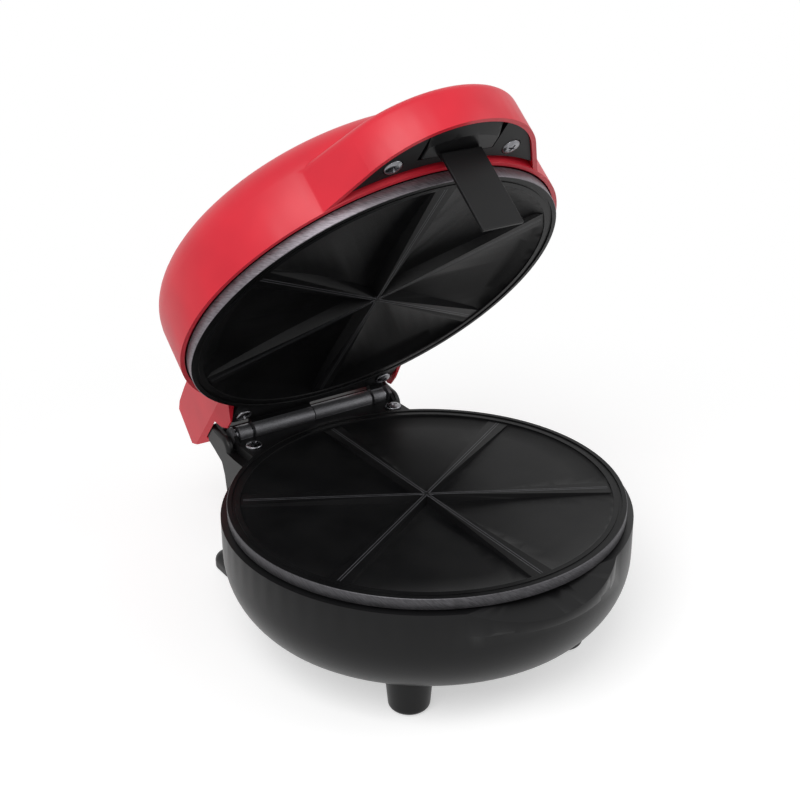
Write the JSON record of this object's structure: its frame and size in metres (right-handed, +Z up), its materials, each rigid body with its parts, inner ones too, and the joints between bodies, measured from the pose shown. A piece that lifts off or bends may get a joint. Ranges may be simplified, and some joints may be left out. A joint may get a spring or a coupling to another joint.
{
  "type": "quesadilla maker",
  "caption": "Round countertop quesadilla maker with a black bowl base on feet, a hinged red domed lid with a strap latch, and wedge-divided non-stick cooking plates.",
  "frame": {"origin": "centre of the footprint of the open part, on the surface that its feet stand on", "axes": "+Z up, +Y towards the hinge at the rear, +X to the right seen from the front"},
  "size_m": [0.2274, 0.3006, 0.3139],
  "materials": {
    "lid_plastic": "satin red moulded plastic",
    "base_plastic": "satin black moulded plastic",
    "coated_casting": "cast aluminium with a black non-stick coating, machined bare on the rim band",
    "element_sheath": "heat-darkened steel sheath",
    "reflector_sheet": "plain aluminised sheet",
    "screw_steel": "bright zinc plating",
    "spring_steel": "drawn spring wire",
    "thermostat_brass": "plain pressed cup",
    "fuse_sleeve": "woven glass sleeve",
    "ceramic": "unglazed steatite",
    "gland_rubber": "matt",
    "pad_rubber": "matt",
    "lead_insulation": "silicone insulation",
    "red_lens": "clear moulded lens",
    "green_lens": "clear moulded lens"
  },
  "bodies": {
    "base": {"base_housing": "base_plastic", "base_bottom_cover": "base_plastic", "bottom_cover_screws": "screw_steel", "front_left_foot": "base_plastic", "front_right_foot": "base_plastic", "rear_left_foot": "base_plastic", "rear_right_foot": "base_plastic", "foot_pads": "pad_rubber", "foot_screws": "screw_steel", "lower_plate": "coated_casting", "lower_plate_screws": "screw_steel", "lower_heating_element": "element_sheath", "lower_heat_pan": "reflector_sheet", "lower_pan_screws": "screw_steel", "lower_thermostat": "thermostat_brass", "lower_thermal_fuse": "fuse_sleeve", "terminal_block": "ceramic", "cord_gland": "gland_rubber", "base_leads": "lead_insulation", "hinge_pin": "screw_steel"},
    "lid": {"lid_housing": "lid_plastic", "upper_plate": "coated_casting", "upper_plate_screws": "screw_steel", "upper_heating_element": "element_sheath", "upper_heat_pan": "reflector_sheet", "upper_pan_screws": "screw_steel", "upper_thermostat": "thermostat_brass", "upper_thermal_fuse": "fuse_sleeve", "handle_insert": "base_plastic", "handle_screws": "screw_steel", "latch_pin": "screw_steel", "power_lamp": "red_lens", "ready_lamp": "green_lens"},
    "latch": {"latch": "base_plastic", "latch_spring": "spring_steel"}
  },
  "joints": [
    {"name": "lid_hinge", "type": "hinge", "parent": "base", "child": "lid", "pos_m": [0, 0.09666, 0.0845], "axis": [-1, 0, 0], "range_deg": [-50, 30]},
    {"name": "latch_pivot", "type": "hinge", "parent": "lid", "child": "latch", "pos_m": [0, -0.05415, 0.28757], "axis": [1, 0, 0], "range_deg": [-14, 4.5], "stiffness_Nm_per_rad": 0.25}
  ]
}
